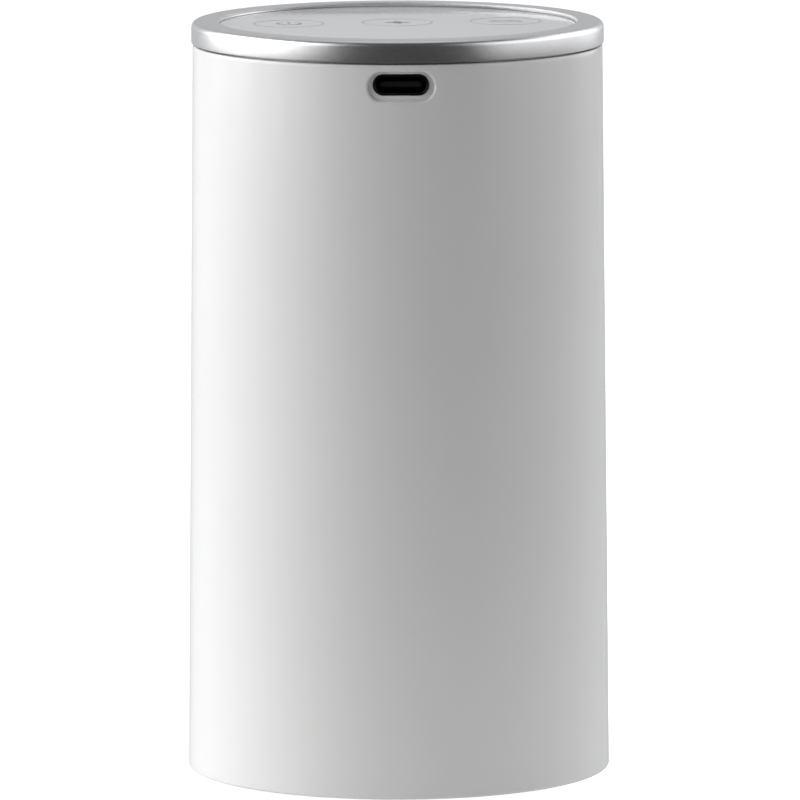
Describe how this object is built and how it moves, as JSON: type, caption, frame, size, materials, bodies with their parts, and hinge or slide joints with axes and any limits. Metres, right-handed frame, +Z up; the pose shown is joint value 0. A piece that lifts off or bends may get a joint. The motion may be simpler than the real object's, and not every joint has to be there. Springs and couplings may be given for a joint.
{
  "type": "air purifier",
  "caption": "Small cylindrical air purifier: gloss tube with a metal-look top ring, touch-key panel, USB-C socket, lift-off housing over a pleated filter and an axial fan.",
  "frame": {"origin": "centre of the round body, on the table under its rubber foot", "axes": "+Z up along the body's axis; the USB-C socket faces -Y; both air grilles face +Y"},
  "size_m": [0.0708, 0.0708, 0.1263],
  "materials": {
    "gloss_white": "high-gloss injection-moulded ABS",
    "satin_silver": "fine sand-blasted and clear anodised",
    "panel_grey": "clear acrylic, light grey behind, printed key marks",
    "base_white": "fine spark-eroded texture",
    "foot_rubber": "moulded soft rubber",
    "soft_seal": "translucent silicone",
    "magnet_plate": "nickel plated",
    "filter_plastic": "moulded polypropylene",
    "carbon_foam": "open-cell foam loaded with carbon",
    "filter_paper": "pleated fibre web",
    "filter_net": "woven nylon mesh",
    "foam_seal": "closed-cell foam",
    "inner_white": "moulded ABS",
    "inner_grey": "moulded ABS",
    "screw_steel": "zinc plated",
    "fan_black": "glass-filled nylon",
    "ferrite": "bonded ferrite",
    "polished_steel": "ground",
    "core_steel": "stacked laminations, varnished",
    "copper_wire": "enamelled copper windings",
    "circuit_board": "solder mask",
    "wire_jacket": "PVC jacket",
    "potting_black": "moulded epoxy",
    "contact_gold": "gold plated",
    "carbon_fibre": "carbon fibre bundle",
    "socket_black": "black plated steel",
    "tongue_black": "glass-filled nylon",
    "part_body": "component bodies",
    "connector_white": "moulded nylon",
    "tape_black": "double-sided foam tape"
  },
  "bodies": {
    "base": {"base_cover": "base_white", "foot_ring": "foot_rubber", "base_gasket": "soft_seal", "base_magnets": "magnet_plate"},
    "housing": {"outer_shell": "gloss_white", "intake_grille": "gloss_white", "outlet_grille": "gloss_white", "top_ring": "satin_silver", "touch_panel": "panel_grey", "housing_magnets": "magnet_plate", "deck_seal": "soft_seal", "lower_collar": "inner_white", "fan_deck": "inner_grey", "top_tray": "inner_grey", "light_shield": "inner_white", "deck_screws": "screw_steel", "fan_screws": "screw_steel", "tray_screws": "screw_steel", "board_screws": "screw_steel", "fan_frame": "fan_black", "fan_bearings": "polished_steel", "stator_core": "core_steel", "stator_coils": "copper_wire", "fan_circuit": "circuit_board", "fan_lead": "wire_jacket", "ioniser_module": "potting_black", "ioniser_pins": "contact_gold", "ioniser_holder": "inner_grey", "ioniser_brush": "carbon_fibre", "ioniser_lead": "wire_jacket", "main_board": "circuit_board", "usb_shell": "socket_black", "usb_tongue": "tongue_black", "usb_contacts": "contact_gold", "control_chip": "potting_black", "board_parts": "part_body", "fan_socket": "connector_white", "touch_pads": "foam_seal", "bearing_tube": "contact_gold", "key_leds": "connector_white", "panel_tape": "tape_black"},
    "filter": {"filter_bottom_cap": "filter_plastic", "filter_top_cap": "filter_plastic", "filter_core": "filter_plastic", "carbon_sleeve": "carbon_foam", "filter_media": "filter_paper", "filter_net": "filter_net", "filter_seal": "foam_seal"},
    "rotor": {"fan_rotor": "fan_black", "fan_shaft": "polished_steel", "rotor_magnet": "ferrite"}
  },
  "joints": [
    {"name": "housing_lift", "type": "slide", "parent": "base", "child": "housing", "axis": [0, 0, 1], "range_m": [0, 0.13]},
    {"name": "filter_lift", "type": "slide", "parent": "base", "child": "filter", "axis": [0, 0, 1], "range_m": [0, 0.0456]},
    {"name": "fan_spin", "type": "hinge", "parent": "housing", "child": "rotor", "pos_m": [0, 0, 0.0738], "axis": [0, 0, 1], "continuous": true}
  ],
  "couplings": [
    {"joint": "filter_lift", "follows": "housing_lift", "ratio": 0.35}
  ]
}
